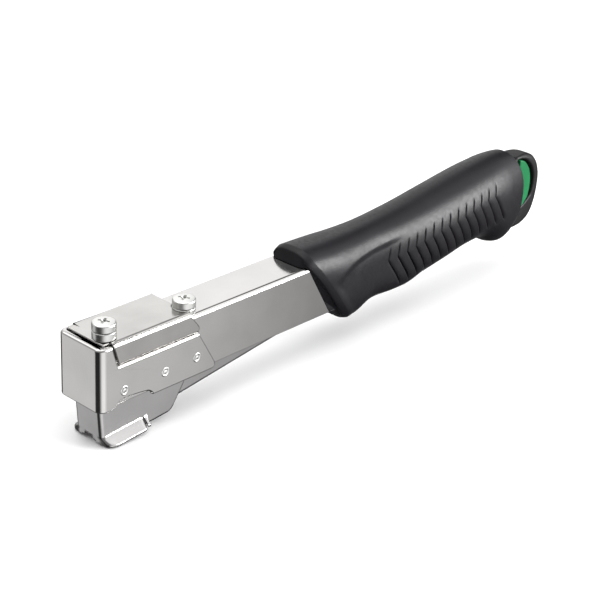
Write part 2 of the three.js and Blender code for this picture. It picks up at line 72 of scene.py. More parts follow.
def span(node):
    """A node's lowest and highest corners, in head coordinates."""
    low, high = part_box(node)
    return (low - HEAD) / MM, (high - HEAD) / MM


# ---- Outlines ----
def arc(across, up, radius, start, stop, steps=10):
    """Points along an arc; the angles are in degrees."""
    return [(across + radius * math.cos(math.radians(a)), up + radius * math.sin(math.radians(a)))
            for a in np.linspace(start, stop, steps + 1)]


def bow(start, pull, stop, steps=10):
    """Points along a quadratic curve, without its start."""
    found = []
    for t in np.linspace(0, 1, steps + 1)[1:]:
        found.append(tuple((1 - t) ** 2 * a + 2 * t * (1 - t) * b + t * t * c
                           for a, b, c in zip(start, pull, stop)))
    return found


def smooth(points, x):
    """A smooth curve through the points, read at x: cubic between points, with averaged slopes."""
    xs, ys = (np.array(v, float) for v in zip(*points))
    slopes = np.gradient(ys, xs)
    x = np.clip(np.asarray(x, float), xs[0], xs[-1])
    i = np.clip(np.searchsorted(xs, x, side="right") - 1, 0, len(xs) - 2)
    gap = xs[i + 1] - xs[i]
    t = (x - xs[i]) / gap
    return ((2 * t ** 3 - 3 * t ** 2 + 1) * ys[i] + (t ** 3 - 2 * t ** 2 + t) * gap * slopes[i]
            + (3 * t ** 2 - 2 * t ** 3) * ys[i + 1] + (t ** 3 - t ** 2) * gap * slopes[i + 1])


def step(low, high, x):
    """0 below low, 1 above high, and a smooth rise between them."""
    t = np.clip((np.asarray(x, float) - low) / (high - low), 0, 1)
    return t * t * (3 - 2 * t)


# ---- Solids ----
ORDER = {"x": lambda a, b, c: (c, a, b), "y": lambda a, b, c: (a, c, b), "z": lambda a, b, c: (a, b, c)}


def from_bmesh(bm):
    """A new object with the bmesh as its mesh."""
    mesh = bpy.data.meshes.new("made")
    bm.to_mesh(mesh)
    bm.free()
    made = bpy.data.objects.new("made", mesh)
    bpy.context.scene.collection.objects.link(made)
    return made


def prism(outline, axis, low, high):
    """A closed outline run along an axis. Outlines are (y, z) for x, (x, z) for y and (x, y) for z."""
    bm = bmesh.new()
    rings = [[bm.verts.new(ORDER[axis](a, b, c)) for a, b in outline] for c in (low, high)]
    count = len(outline)
    bm.faces.new(rings[0])
    bm.faces.new(rings[1])
    for i in range(count):
        j = (i + 1) % count
        bm.faces.new((rings[0][i], rings[0][j], rings[1][j], rings[1][i]))
    bmesh.ops.remove_doubles(bm, verts=bm.verts, dist=1e-4)
    bmesh.ops.recalc_face_normals(bm, faces=bm.faces)
    return from_bmesh(bm)


def skinned(rings, looped=True):
    """A solid through rings of points, run round in a loop or closed flat at both ends."""
    bm = bmesh.new()
    verts = [[bm.verts.new(point) for point in ring] for ring in rings]
    for ring, after in zip(verts, verts[1:] + (verts[:1] if looped else [])):
        for k in range(len(ring)):
            m = (k + 1) % len(ring)
            bm.faces.new((ring[k], ring[m], after[m], after[k]))
    if not looped:
        bm.faces.new(verts[0])
        bm.faces.new(verts[-1])
    bmesh.ops.recalc_face_normals(bm, faces=bm.faces)
    return from_bmesh(bm)


def block(x0, x1, y0, y1, z0, z1):
    """A box, given by its range along each axis."""
    return prism([(x0, y0), (x1, y0), (x1, y1), (x0, y1)], "z", z0, z1)


def turned(profile, axis, centre, steps=64):
    """A (radius, height) profile turned about an axis, ending at radius 0 or closing on itself."""
    bm = bmesh.new()
    rings = []
    for radius, height in profile:
        if radius < 1e-6:
            rings.append([bm.verts.new((0, 0, height))] * steps)
        else:
            rings.append([bm.verts.new((radius * math.cos(2 * math.pi * k / steps),
                                        radius * math.sin(2 * math.pi * k / steps), height))
                          for k in range(steps)])
    closed = profile[0][0] > 1e-6
    pairs = list(zip(rings, rings[1:])) + ([(rings[-1], rings[0])] if closed else [])
    for ring, after in pairs:
        for k in range(steps):
            m = (k + 1) % steps
            corners = list(dict.fromkeys((ring[k], ring[m], after[m], after[k])))
            if len(corners) > 2:
                bm.faces.new(corners)
    bmesh.ops.recalc_face_normals(bm, faces=bm.faces)
    made = from_bmesh(bm)
    turn = {"z": Matrix.Identity(4), "x": Matrix.Rotation(math.pi / 2, 4, "Y"),
            "y": Matrix.Rotation(-math.pi / 2, 4, "X")}[axis]
    made.data.transform(Matrix.Translation(Vector(centre)) @ turn)
    return made


def cylinder(radius, axis, centre, length, steps=48):
    """A cylinder along an axis, with its middle at centre."""
    half = length / 2
    return turned([(0, -half), (radius, -half), (radius, half), (0, half)], axis, centre, steps)


def applied(made):
    """The object with its modifiers made part of its mesh."""
    bpy.context.view_layer.update()
    graph = bpy.context.evaluated_depsgraph_get()
    mesh = bpy.data.meshes.new_from_object(made.evaluated_get(graph))
    made.modifiers.clear()
    made.data = mesh
    return made


def combined(made, others, operation):
    """The object after an operation with each of the others, which are used up."""
    for other in others:
        change = made.modifiers.new("combine", "BOOLEAN")
        change.operation = operation
        change.solver = "EXACT"
        change.object = other
        applied(made)
        bpy.data.objects.remove(other)
    return made


def cut(made, *others):
    """The object without the others."""
    return combined(made, others, "DIFFERENCE")


def joined(made, *others):
    """The object and the others as one solid."""
    return combined(made, others, "UNION")


def common(made, *others):
    """What the object and the others share."""
    return combined(made, others, "INTERSECT")


def moved(made, matrix):
    """The object, carried along by the matrix."""
    made.data.transform(matrix)
    return made


def on_side(sign, near, far):
    """A range in Y from near to far, on the side that sign says."""
    return (near, far) if sign > 0 else (-far, -near)


def tidy(made):
    """Merges flat neighbours and doubled points that the cuts leave."""
    bm = bmesh.new()
    bm.from_mesh(made.data)
    bmesh.ops.remove_doubles(bm, verts=bm.verts, dist=2e-3)
    bmesh.ops.dissolve_limit(bm, angle_limit=math.radians(0.6), verts=bm.verts, edges=bm.edges)
    bm.to_mesh(made.data)
    bm.free()
    return made


def softened(made, radius, special=None, segments=4, sharp=26, clamped=True):
    """Rounds every sharp edge by radius, or by what special(middle of the edge) gives for it."""
    tidy(made)
    bm = bmesh.new()
    bm.from_mesh(made.data)
    wanted = {}
    for edge in bm.edges:
        if len(edge.link_faces) == 2 and edge.calc_face_angle(0) > math.radians(sharp):
            middle = (edge.verts[0].co + edge.verts[1].co) / 2
            own = special(middle) if special else None
            wanted[edge.index] = radius if own is None else own
    biggest = max(wanted.values(), default=radius)
    name = "bevel_weight_edge"
    layer = bm.edges.layers.float.get(name) or bm.edges.layers.float.new(name)
    bm.edges.ensure_lookup_table()
    for index, value in wanted.items():
        bm.edges[index][layer] = value / biggest
    bm.to_mesh(made.data)
    bm.free()
    bevel = made.modifiers.new("bevel", "BEVEL")
    bevel.limit_method = "WEIGHT"
    bevel.width = biggest
    bevel.segments = segments
    bevel.miter_outer = "MITER_ARC"
    bevel.use_clamp_overlap = clamped
    return applied(made)


# ---- Placing ----
TO_FRAME = Matrix.Translation(HEAD) @ Matrix.Scale(MM, 4)
SWING_DOWN = Matrix.Translation(PIVOT) @ Matrix.Rotation(-REST_TILT, 4, "Y") @ Matrix.Translation(-PIVOT)


def shaded(made, angle=32):
    """Smooth shading, broken at edges sharper than angle and flat on large faces."""
    mesh = made.data
    mesh.shade_smooth()
    mesh.set_sharp_from_angle(angle=math.radians(angle))
    weigh = made.modifiers.new("normals", "WEIGHTED_NORMAL")
    weigh.keep_sharp = True
    weigh.weight = 95
    return applied(made)


def placed(made, name, body, material, slot, *nodes, down=False, angle=32):
    """Puts a finished solid into the frame as a piece that rides on body and stands for the CAD nodes."""
    moved(made, TO_FRAME @ SWING_DOWN if down else TO_FRAME)
    shaded(made, angle)
    made.name = name
    made.data.name = name
    made.data.materials.clear()
    made.data.materials.append(material)
    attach(made, body)
    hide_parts(*nodes)
    return made


# ---- Materials ----
NOISE_LOW, NOISE_HIGH = 0.3, 0.7  # noise seldom leaves this range


def feed(tree, socket, value):
    """Links another socket to this one, or sets its value."""
    if isinstance(value, bpy.types.NodeSocket):
        tree.links.new(value, socket)
    else:
        socket.default_value = value


def add_node(tree, kind, inputs=None, **settings):
    """A new node, with its settings made and its inputs linked or set."""
    made = tree.nodes.new(kind)
    for key, value in settings.items():
        setattr(made, key, value)
    for key, value in (inputs or {}).items():
        feed(tree, made.inputs[key], value)
    return made


class Shader:
    """A material's node tree, built from short calls."""

    def __init__(self, name):
        self.material = bpy.data.materials.new(name)
        self.material.use_nodes = True
        self.tree = self.material.node_tree
        self.surface = self.tree.nodes["Principled BSDF"]
        self.place = self.node("ShaderNodeTexCoord").outputs["Object"]

    def node(self, kind, inputs=None, **settings):
        return add_node(self.tree, kind, inputs, **settings)

    def noise(self, scale, detail=3.0, rough=0.5, stretch=(1, 1, 1)):
        """Noise around 0.5, in the object's own coordinates."""
        source = self.node("ShaderNodeMapping", {"Vector": self.place, "Scale": stretch}).outputs["Vector"]
        made = self.node("ShaderNodeTexNoise", {"Vector": source, "Scale": scale, "Detail": detail,
                                                "Roughness": rough})
        return made.outputs["Fac"]

    def between(self, value, low, high):
        """The value spread over low to high."""
        made = self.node("ShaderNodeMapRange", {"Value": value, "From Min": NOISE_LOW, "To Min": low,
                                                "From Max": NOISE_HIGH, "To Max": high})
        return made.outputs["Result"]

    def colours(self, value, dark, light):
        """A colour between dark and light."""
        ramp = self.node("ShaderNodeValToRGB", {"Fac": value})
        ramp.color_ramp.elements[0].position = NOISE_LOW
        ramp.color_ramp.elements[0].color = (*dark, 1)
        ramp.color_ramp.elements[1].position = NOISE_HIGH
        ramp.color_ramp.elements[1].color = (*light, 1)
        return ramp.outputs["Color"]

    def bump(self, height, distance, normal=None):
        """A normal raised by height, on top of another normal if one is given."""
        inputs = {"Height": height, "Distance": distance}
        if normal is not None:
            inputs["Normal"] = normal
        return self.node("ShaderNodeBump", inputs).outputs["Normal"]

    def set(self, **inputs):
        """Links or sets the surface's inputs."""
        for key, value in inputs.items():
            feed(self.tree, self.surface.inputs[key.replace("_", " ")], value)


def metal(name, dark, light, smoothest, roughest, streak=0.000004):
    """Plated sheet: faint clouding, fine drawing marks along the tool and a slightly uneven gloss."""
    s = Shader(name)
    cloud = s.noise(45, 3)
    streaks = s.noise(260, 2, stretch=(1, 14, 14))
    grain = s.noise(2600, 2)
    gloss = s.between(s.noise(120, 4), smoothest, roughest)
    bumps = s.bump(streaks, streak, normal=s.bump(grain, streak * 0.5))
    s.set(Base_Color=s.colours(cloud, dark, light), Metallic=1.0, Roughness=gloss, Normal=bumps)
    return s.material


def rubber(name, dark, light, roughness, spread, grain, level):
    """Matt moulded rubber with two sizes of grain."""
    s = Shader(name)
    cloud = s.noise(60, 4)
    fine = s.noise(2400, 3, 0.6)
    mid = s.noise(500, 3)
    bumps = s.bump(fine, grain, normal=s.bump(mid, grain * 1.5))
    s.set(Base_Color=s.colours(cloud, dark, light), Normal=bumps, Specular_IOR_Level=level,
          Roughness=s.between(mid, roughness - spread, roughness + spread))
    return s.material


def plastic(name, dark, light, roughness, grain=0.000006, level=0.5):
    """Moulded plastic with a fine grain."""
    s = Shader(name)
    cloud = s.noise(90, 3)
    fine = s.noise(1800, 2)
    s.set(Base_Color=s.colours(cloud, dark, light), Normal=s.bump(fine, grain), Specular_IOR_Level=level,
          Roughness=s.between(fine, roughness - 0.06, roughness + 0.06))
    return s.material


PLATED = metal("bright_plate", (0.575, 0.565, 0.555), (0.63, 0.62, 0.61), 0.12, 0.15)
COVER_PLATED = metal("brushed_plate", (0.46, 0.45, 0.44), (0.54, 0.53, 0.515), 0.16, 0.19)
SCREW_PLATED = metal("screw_plate", (0.66, 0.66, 0.65), (0.76, 0.76, 0.74), 0.3, 0.38)
SATIN = metal("satin_plate", (0.47, 0.462, 0.46), (0.53, 0.522, 0.52), 0.15, 0.22)
OILED = metal("oiled_steel", (0.16, 0.16, 0.17), (0.24, 0.24, 0.25), 0.35, 0.5)
WIRE = metal("spring_wire", (0.30, 0.30, 0.32), (0.38, 0.38, 0.40), 0.2, 0.3)
GRIP_RUBBER = rubber("grip_rubber", (0.0050, 0.0045, 0.0060), (0.0080, 0.0072, 0.0094), 0.39, 0.05,
                     0.000016, 0.22)
STOP_RUBBER = rubber("stop_rubber", (0.012, 0.012, 0.012), (0.02, 0.02, 0.02), 0.6, 0.08, 0.00003, 0.3)
BLACK_PLASTIC = plastic("black_plastic", (0.006, 0.0055, 0.006), (0.010, 0.009, 0.010), 0.4, level=0.2)
GREEN_PLASTIC = plastic("green_plastic", (0.0040, 0.108, 0.034), (0.0060, 0.130, 0.043), 0.4, level=0.16)


# ---- Sheet-metal sections ----
def folded_section(half, top, bottom, wall, fold):
    """The section of a channel that is open below, in Y and Z."""
    flat, spring, inner = half - fold, top - fold, fold - wall
    outside = arc(-flat, spring, fold, 180, 90, 12) + arc(flat, spring, fold, 90, 0, 12)
    inside = arc(flat, spring, inner, 0, 90, 12) + arc(-flat, spring, inner, 90, 180, 12)
    return ([(-half, bottom)] + outside + [(half, bottom), (half - wall, bottom)] + inside
            + [(wall - half, bottom)])


def wrapped_plan(front, rear, half, wall, front_wall, corner):
    """A sheet bent round the front: a U in X and Y, open towards the butt."""
    inner = corner - wall
    hollow = front + front_wall + inner
    return ([(rear, -half)] + arc(front + corner, corner - half, corner, 270, 180, 16)
            + arc(front + corner, half - corner, corner, 180, 90, 16)
            + [(rear, half), (rear, half - wall)]
            + arc(hollow, half - wall - inner, inner, 90, 180, 16)
            + arc(hollow, wall + inner - half, inner, 180, 270, 16)
            + [(rear, wall - half)])


# ---- Head ----
CAP_CORNER = 3.87
SCREW_PLACES = {"front": 8.6, "rear": 54.8}
SCREW_Y = -6.6
SCREW_RADIUS = 5.35
SCREW_HEAD = 4.0
SHANK = 2.2
RIVETS = [(13.6, -23.2), (37.2, -22.7), (56.3, -22.2)]
RIVET_RADIUS = 2.3
RIVET_SHANK = 0.6 * RIVET_RADIUS
STUD = 2.5
THROUGH = 40  # long enough for a hole to pass through both sides


def rivet_holes():
    """What the cap's rivets take out of a sheet."""
    return [cylinder(RIVET_SHANK + CLEAR, "y", (x, 0, z), THROUGH, 24) for x, z in RIVETS]


def handle_shell():
    """The folded channel: a window for the driver block at the front and a tang inside the grip."""
    low, high = span("handle_channel")
    half, top = high.y, high.z
    window_rear, window_half = 22, 9.4
    tang_from, tang_bottom = 204, -24
    shell = prism(folded_section(half, top, low.z, wall=1.3, fold=2.2), "x", low.x, high.x)
    cut(shell,
        block(low.x - 1, window_rear, -window_half, window_half, top - 3, top + 1),
        block(tang_from, high.x + 1, -20, 20, low.z - 1, tang_bottom),
        cylinder(SHANK + CLEAR, "z", (SCREW_PLACES["rear"], SCREW_Y, top), 6),
        cylinder(STUD + CLEAR, "y", (PIVOT.x, 0, PIVOT.z), THROUGH),
        *rivet_holes())

    def radius(middle):
        return 0.6 if abs(middle.y) > half - 0.1 else None

    return softened(shell, 0.3, radius, clamped=False)


def front_cap():
    """The sheet wrapped round the front, with a ledge along the cover and arched over the magazine."""
    low, high = span("front_cap")
    half, bottom, front_bottom, ledge = high.y, low.z, low.z + 0.7, -10.55
    outline = [(-1, 0), (7.2, 0), (10.4, ledge), (57.4, ledge)]
    outline += arc(65.9, -29.2, 2.2, 25, -90, 4) + [(30.2, bottom)]
    outline += bow(outline[-1], (28.6, -28.4), (25.8, -28.2))
    outline += bow(outline[-1], (18, -27.1), (12.6, -27.2))
    outline += bow(outline[-1], (10.4, -27.6), (7, front_bottom)) + [(-1, front_bottom)]
    cap = prism(wrapped_plan(0, 70, half, wall=1.9, front_wall=2.9, corner=CAP_CORNER), "z", bottom, 0)
    common(cap, prism(outline, "y", -half - 1, half + 1))
    cut(cap, *rivet_holes())

    def radius(middle):
        from_bend = math.hypot(middle.x - CAP_CORNER, abs(middle.y) - (half - CAP_CORNER))
        on_bend = middle.x < 3.9 and from_bend > 3.6
        outside = abs(middle.y) > half - 0.4 or middle.x < 0.4
        if not (outside or on_bend):
            return 0.25
        if middle.z > -1:
            return 1.4
        return 1.05 if middle.z > ledge - 0.2 and middle.x < 57 else 0.75

    return softened(cap, 0.3, radius, segments=6, clamped=False)


def cover_plate():
    """The folded plate on top, with skirts down to the cap's ledges and a narrower front."""
    high = span("cover_plate")[1]
    half, top, skirt, front = high.y, high.z, -10.2, 3.6
    notch_rear, notch_half = 7.9, 11.6
    outline = [(front, 3), (52.8, 3), (52.8, -0.6), (58.0, -7.4), (58.1, -8.6), (57.3, skirt),
               (11.0, skirt), (notch_rear, 0.0), (7.2, -1.6), (front, -1.6)]
    cover = prism(folded_section(half, top, skirt, wall=1.5, fold=2.5), "x", front, 60)
    common(cover, prism(outline, "y", -20, 20))
    cut(cover,
        block(0, notch_rear, *on_side(1, notch_half, 20), -12, 3),
        block(0, notch_rear, *on_side(-1, notch_half, 20), -12, 3),
        cylinder(SHANK + CLEAR, "z", (SCREW_PLACES["front"], SCREW_Y, 0), 8),
        cylinder(SCREW_RADIUS + CLEAR, "z", (SCREW_PLACES["rear"], SCREW_Y, 1.7), 4.6))

    def radius(middle):
        outside = abs(middle.y) > half - 0.3
        if outside and middle.z < skirt + 0.1:
            return 1.0
        return 0.6 if outside or middle.x < front + 0.1 else 0.3

    return softened(cover, 0.3, radius, segments=5, clamped=False)


def cross_screw(which):
    """A cheese-head screw with a domed top and a cross recess."""
    low, high = span(f"{which}_screw")
    x, top = SCREW_PLACES[which], high.z
    seat, end = top - SCREW_HEAD, low.z + 0.5
    edge, dome, foot, tip = 0.8, 0.4, 0.35, 0.3
    arm_reach, arm_half, arm_depth, arm_turn = 2.7, 0.55, 1.5, 0.5
    profile = [(0, end), (SHANK - tip, end), (SHANK, end + tip), (SHANK, seat), (SCREW_RADIUS - foot, seat)]
    profile += arc(SCREW_RADIUS - foot, seat + foot, foot, -90, 0, 4)[1:]
    profile += arc(SCREW_RADIUS - edge, top - dome - edge, edge, 0, 80, 8)
    profile += [(r, top - dome * (r / (SCREW_RADIUS - edge)) ** 2) for r in (3.4, 2.2, 1.0)]
    profile += [(0, top)]
    screw = turned(profile, "z", (x, SCREW_Y, 0), 72)
    for turn in (arm_turn, arm_turn + math.pi / 2):
        arm = block(-arm_reach, arm_reach, -arm_half, arm_half, -arm_depth, 1)
        cut(screw, moved(arm, Matrix.Translation((x, SCREW_Y, top)) @ Matrix.Rotation(turn, 4, "Z")))
    cut(screw, turned([(0, -2.0), (0.8, -1.6), (1.6, 0.5), (0, 0.5)], "z", (x, SCREW_Y, top), 24))
    return softened(screw, 0.12, segments=2, sharp=40)


def collar(which):
    """The round spacer that a clamp screw's head sits on."""
    low, high = span(f"{which}_collar")
    bore, outer, edge = SHANK + CLEAR, SCREW_RADIUS, 0.4
    profile = [(bore, low.z), (outer - edge, low.z)] + arc(outer - edge, low.z + edge, edge, -90, 0, 4)[1:]
    profile += arc(outer - edge, high.z - edge, edge, 0, 90, 4) + [(bore, high.z)]
    return turned(profile, "z", (SCREW_PLACES[which], SCREW_Y, 0), 72)


def cap_rivet(x, z, sign):
    """A flush rivet whose head shows as a raised ring with a small dot in the middle."""
    low, high = span("cap_rivet_right_1")
    inner, rim = low.y, RIVET_RADIUS
    sheet = high.y - 0.65
    profile = [(0, inner), (RIVET_SHANK, inner), (RIVET_SHANK, sheet), (rim, sheet),
               (rim - 0.1, sheet + 0.1), (rim - 0.34, sheet + 0.18), (rim - 0.66, sheet + 0.16),
               (rim - 0.86, sheet + 0.04), (0.95, sheet + 0.02), (0.7, sheet + 0.1), (0.35, sheet + 0.16),
               (0.0, sheet + 0.17)]
    made = turned(profile, "y", (x, 0, z), 48)
    if sign < 0:
        moved(made, Matrix.Scale(-1, 4, (0, 1, 0)))
        made.data.flip_normals()
    return made


placed(handle_shell(), "handle_shell", "handle", PLATED, "plated_steel", "handle_channel")
placed(front_cap(), "striking_cap", "handle", PLATED, "plated_steel", "front_cap")
placed(cover_plate(), "head_cover", "handle", COVER_PLATED, "plated_steel", "cover_plate")
for which in SCREW_PLACES:
    placed(cross_screw(which), f"{which}_clamp_screw", "handle", SCREW_PLATED, "plated_steel",
           f"{which}_screw")
    placed(collar(which), f"{which}_screw_collar", "handle", SCREW_PLATED, "plated_steel",
           f"{which}_collar")
for side, sign in SIDES:
    for number, (x, z) in enumerate(RIVETS, 1):
        placed(cap_rivet(x, z, sign), f"{side}_rivet_{number}", "handle", SCREW_PLATED, "plated_steel",
               f"cap_rivet_{side}_{number}")


# ---- Grip ----
# The grip against X: its top, bottom and half width, and the power that squares its section.
GRIP_TOP = [(120, 5.4), (136, 5.2), (150, 4.8), (177, 4.5), (208, 6.7), (240, 11.0), (274, 15.0),
            (291, 16.0), (303, 14.8), (310, 13.0)]
GRIP_BOTTOM = [(120, -33.5), (136, -33.5), (146, -35.0), (155, -40.0), (162, -42.3), (168, -41.0),
               (177, -37.2), (200, -36.3), (220, -35.6), (240, -33.0), (264, -29.4), (278, -29.8),
               (289, -35.2), (297, -36.6), (304, -33.0), (310, -29)]
GRIP_HALF = [(120, 14.8), (140, 15.4), (154, 16.0), (164, 15.6), (182, 14.4), (205, 15.3), (235, 16.3),
             (275, 16.4), (292, 15.8), (303, 14.0), (310, 12.5)]
GRIP_SQUARE = [(120, 2.9), (165, 2.7), (200, 2.45), (235, 2.2), (280, 2.2), (310, 2.3)]
GRIP_MIDDLE = -14
GRIP_BASE, GRIP_END = 134.6, 304.0
GRIP_LENGTH = GRIP_END - GRIP_BASE
# X against Z: the ridge behind the front lip, and the rear edge; then X and the top of the low side.
RIDGE = [(-45, 169.5), (-30, 157.9), (-15, 146.3), (-4, 137.9), (1, 134.4), (4, 133.6), (8, 133.4)]
REAR_EDGE = [(-38, 293.5), (-32, 298.5), (-28, 301.6), (-24, 303.4), (-14, 304.2), (-5, 304.4), (1, 304.2),
             (8, 302.8), (12, 301.2), (17, 298.4)]
RELIEF_EDGE = [(144, -21), (148, -15.7), (153, -11.6), (162, -7.2), (172, -5.2), (190, -3.8), (205, -2.0)]
GROOVES = 14
GROOVE_FIRST, GROOVE_PITCH = 189.6, 6.6
GROOVE_KINK_LOW, GROOVE_KINK_RISE = -14.6, 1.04
GROOVE_HALF, GROOVE_DEPTH, GROOVE_DEEPER = 0.36, 0.55, 0.4
FIRST_LINE = GROOVE_FIRST - GRIP_BASE
LAST_LINE = GROOVE_FIRST + (GROOVES - 1) * GROOVE_PITCH - GRIP_BASE
SCALLOP_DEPTH, SCALLOP_LENGTH = 0.85, 3.2
RELIEF_DEPTH = 0.8
AROUND = 192
LIP = [(0.25, 0.05), (1.2, 0.28), (2.6, 0.66), (3.7, 1.05), (4.2, 1.35), (4.5, 1.8), (4.55, 2.3)]
REAR_LIP = [(0.9, 0.12), (1.6, 0.4), (2.1, 0.9), (2.3, 1.6)]
# The rooms inside for the core, the tang and the handle: rear and front in X, half width, bottom and top.
ROOMS = [(303.4, 236.6, 10.8, -25.3, 2.3), (236.3, 204.6, 11.96, -24.3, -1.8),
         (204.3, 165, 11.96, -30.9, -1.8)]
MOUTH_TOP, MOUTH_SIDE, MOUTH_LEAN = 128.4, 131.1, 0.61


def grip_ring(x, angles):
    """Y and Z of the skin at stations x, one for each angle."""
    top, bottom, half = smooth(GRIP_TOP, x), smooth(GRIP_BOTTOM, x), smooth(GRIP_HALF, x)
    c, v = np.cos(angles), np.sin(angles)
    corner = 0.95 * step(164, 178, x) * (1 - step(206, 224, x)) * (v < 0)
    power = 2 / (smooth(GRIP_SQUARE, x) + corner)
    y = np.sign(c) * np.abs(c) ** power * half
    z = (top + bottom) / 2 + np.sign(v) * np.abs(v) ** power * (top - bottom) / 2
    return y, z


def inset_ring(points, amount):
    """A ring drawn in by amount towards its own middle line, kept at its stations."""
    along = np.roll(points, -1, axis=0) - np.roll(points, 1, axis=0)
    out = np.stack([np.zeros(len(points)), along[:, 2], -along[:, 1]], 1)
    out /= np.linalg.norm(out, axis=1, keepdims=True)
    centre = points.mean(axis=0)
    sign = np.sign(np.sum(out * (points - centre), axis=1))
    return points - out * (sign * amount)[:, None]


def room_ring(angles, x, half, low, high, radius=1.8):
    """A rounded rectangle in Y and Z, with one point for each angle."""
    middle, tall = (low + high) / 2, (high - low) / 2
    c, v = np.cos(angles), np.sin(angles)
    reach = np.minimum(half / np.maximum(np.abs(c), 1e-9), tall / np.maximum(np.abs(v), 1e-9))
    y, z = c * reach, v * reach
    over_y, over_z = np.abs(y) - (half - radius), np.abs(z) - (tall - radius)
    corner = (over_y > 0) & (over_z > 0)
    shrink = np.where(corner, radius / np.maximum(np.hypot(over_y, over_z), radius), 1)
    y = np.where(corner, np.sign(y) * (half - radius + over_y * shrink), y)
    z = np.where(corner, np.sign(z) * (tall - radius + over_z * shrink), z)
    return np.stack([x + np.zeros(len(angles)), y, middle + z], 1)


def groove_kink(x):
    """The height at which the chevron grooves turn."""
    return GROOVE_KINK_LOW + GROOVE_KINK_RISE * (x - GROOVE_FIRST) / GROOVE_PITCH


def grip_stations():
    """How far along the grip its rings lie: close together at every groove."""
    profile = [-2.6, -1.7, -1.0, -0.55, -0.28, 0.0, 0.28, 0.6, 1.2, 2.0, 2.9]
    before = list(np.arange(0, FIRST_LINE - 3.2, 1.15))
    grooves = [FIRST_LINE + GROOVE_PITCH * k + d for k in range(GROOVES) for d in profile]
    after = list(np.arange(LAST_LINE + 4, GRIP_LENGTH - 0.4, 1.0)) + [GRIP_LENGTH]
    return np.unique(np.round(before + grooves + after, 3))


def smooth_skin(stations, angles):
    """The skin's rings without grooves: along the ridge at the front, the edge at the rear and the chevrons
    between, so that a groove lies on one ring. X depends on the height, so it takes a few rounds."""
    rows = []
    for s in stations:
        x = GRIP_BASE + s + np.zeros(AROUND)
        for _ in range(8):
            y, z = grip_ring(x, angles)
            ridge, rear = smooth(RIDGE, z), smooth(REAR_EDGE, z)
            ends = ridge + (rear - ridge) * s / GRIP_LENGTH
            above = z - groove_kink(x)
            chevron = np.where(above > 0, 0.2 * above, -0.62 * above) * step(2, 10, np.abs(y))
            zone = step(FIRST_LINE - 30, FIRST_LINE - 6, s) * (1 - step(LAST_LINE + 6, GRIP_LENGTH - 1, s))
            x = 0.5 * x + 0.5 * (ends * (1 - zone) + (GRIP_BASE + s + chevron) * zone)
        y, z = grip_ring(x, angles)
        rows.append(np.stack([x, y, z], 1))
    return np.array(rows)


def hollows(rows, stations):
    """How deep the skin is let in: grooves, scallops behind them, and the low side at the front."""
    x, y, z = rows[:, :, 0], rows[:, :, 1], rows[:, :, 2]
    s = np.repeat(stations[:, None], AROUND, 1)
    kink = groove_kink(s + GRIP_BASE)
    lines = FIRST_LINE + GROOVE_PITCH * np.arange(GROOVES)
    nearest = np.min(np.abs(s[:, :, None] - lines), axis=2)
    behind = np.mod(s - FIRST_LINE + GROOVE_PITCH / 2, GROOVE_PITCH) - GROOVE_PITCH / 2
    reach = step(kink - 17.5, kink - 13, z) * (1 - step(kink + 5.0, kink + 7.5, z)) * step(5, 9, np.abs(y))
    inside = step(FIRST_LINE - 2, FIRST_LINE - 0.5, s) * (1 - step(LAST_LINE + 0.5, LAST_LINE + 3, s))
    low_side = 1 - step(kink - 5, kink + 1, z)
    groove = (GROOVE_DEPTH + GROOVE_DEEPER * low_side) * np.exp(-(nearest / GROOVE_HALF) ** 2)
    scallop = SCALLOP_DEPTH * np.where(behind > 0, 1 - behind / SCALLOP_LENGTH, 0).clip(0, 1) ** 1.5
    edge = smooth(RELIEF_EDGE, x)
    relief = (1 - step(edge - 2.6, edge + 0.6, z)) * (1 - step(186, 206, x))
    relief = relief * step(0.5, 5, x - smooth(RIDGE, z)) * step(-38, -30, z) * step(6, 11, np.abs(y))
    return (groove + scallop * low_side) * reach * inside + RELIEF_DEPTH * relief


def grip_mouth(angles):
    """Where the sleeve meets the handle: leaning back at the sides and straight across the top."""
    ring = room_ring(angles, 0, *ROOMS[-1][2:])
    around_side = np.maximum(step(7, 12, np.abs(ring[:, 1])), 1 - step(-26, -12, ring[:, 2]))
    back = (MOUTH_SIDE - MOUTH_TOP) - MOUTH_LEAN * (ring[:, 2] + 2)
    ring[:, 0] = MOUTH_TOP + back * around_side
    return ring


def grip_skin():
    """The moulded sleeve: a grooved skin, bevelled lips, and rooms for the handle and the grip's core."""
    angles = np.linspace(0, 2 * np.pi, AROUND, endpoint=False)
    stations = grip_stations()
    rows = smooth_skin(stations, angles)
    normal = rows * (0, 1, 1) - (0, 0, GRIP_MIDDLE)
    normal /= np.linalg.norm(normal, axis=2, keepdims=True)
    rows = rows - normal * hollows(rows, stations)[:, :, None]
    lip = []
    for back, inset in LIP:
        ring = inset_ring(rows[0], inset)
        ring[:, 0] -= back * step(-3, 3, -ring[:, 2]) * 0.25 + back * 0.75
        lip.append(ring)
    rear_lip = []
    for out, inset in REAR_LIP:
        ring = inset_ring(rows[-1], inset)
        ring[:, 0] += 0.45 * out
        rear_lip.append(ring)
    tunnel = [room_ring(angles, x, *size) for rear, front, *size in ROOMS for x in (rear, front)]
    return skinned([*lip[::-1], *rows, *rear_lip, *tunnel, grip_mouth(angles)])


placed(grip_skin(), "moulded_grip", "handle", GRIP_RUBBER, "grip_rubber", "rubber_grip", angle=50)


# ---- Loader ----
HOOP_MIDDLE = (316, -8)
HOOP_EDGE, WINDOW_EDGE = 3.6, 1.2
TONGUE_LOW, TONGUE_HIGH = -13.7, -8.3
CHEEK_SPRING = Vector((313.5, 0, -9))


